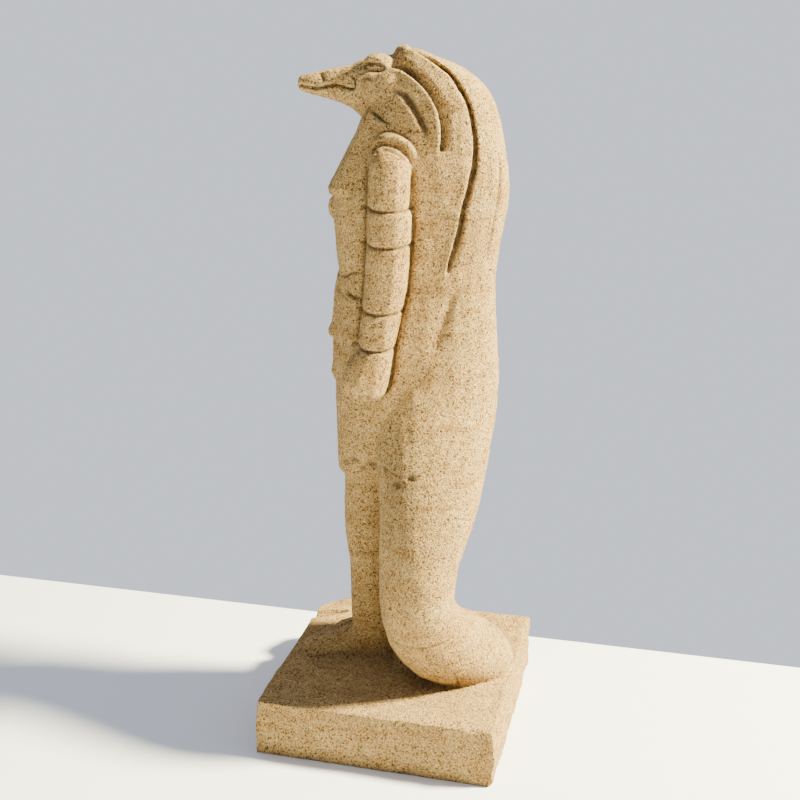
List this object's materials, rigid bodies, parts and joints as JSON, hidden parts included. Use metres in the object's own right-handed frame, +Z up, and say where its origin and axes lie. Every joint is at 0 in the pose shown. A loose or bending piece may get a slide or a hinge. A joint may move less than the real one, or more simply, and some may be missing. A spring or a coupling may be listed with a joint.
{
  "type": "egyptian deity figure",
  "caption": "Standing crocodile-headed deity statuette in a long wig and kilt, with a heavy swinging tail, carved in a single block of sandstone with its square plinth.",
  "frame": {"origin": "centre of the square plinth's underside, which stands on the table", "axes": "+Z up the figure, -Y out of the plinth's front, where the toes and the snout point, +X to the figure's left, the side the tail swings to"},
  "size_m": [0.0914, 0.0886, 0.25],
  "materials": {
    "sandstone": "matt, hand-rubbed, speckled with dark grains"
  },
  "bodies": {
    "root": {"deity_figure": "sandstone"}
  },
  "joints": []
}
